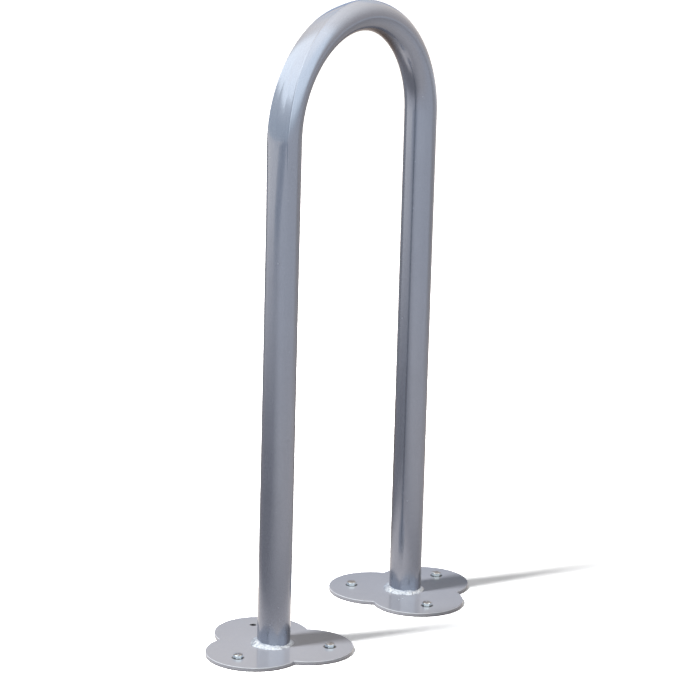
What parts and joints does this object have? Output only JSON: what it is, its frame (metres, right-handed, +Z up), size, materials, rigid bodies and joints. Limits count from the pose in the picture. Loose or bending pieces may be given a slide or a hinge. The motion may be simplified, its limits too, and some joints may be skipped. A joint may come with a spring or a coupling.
{
  "type": "hoop bike rack",
  "caption": "Upside-down U of bent round steel pipe, welded to three-lobed base plates that bolt down, for leaning and locking bicycles.",
  "frame": {"origin": "on the plates' undersides, midway between the two legs", "axes": "+X from the left leg to the right leg, +Y square to the hoop's plane, +Z up the legs"},
  "size_m": [0.554, 0.2192, 0.9252],
  "materials": {
    "pipe_paint": "glossy silver metallic coat",
    "plate_paint": "glossy silver metallic coat, mirror-like on the flat",
    "weld_bead": "bright silver over a lumpy bead",
    "zinc_bolt": "bright zinc plate"
  },
  "bodies": {
    "root": {"hoop_tube": "pipe_paint", "left_base_plate": "plate_paint", "right_base_plate": "plate_paint", "left_weld_bead": "weld_bead", "right_weld_bead": "weld_bead", "left_bolt_1": "zinc_bolt", "left_bolt_2": "zinc_bolt", "right_bolt_1": "zinc_bolt", "right_bolt_2": "zinc_bolt", "right_bolt_3": "zinc_bolt"}
  },
  "joints": []
}
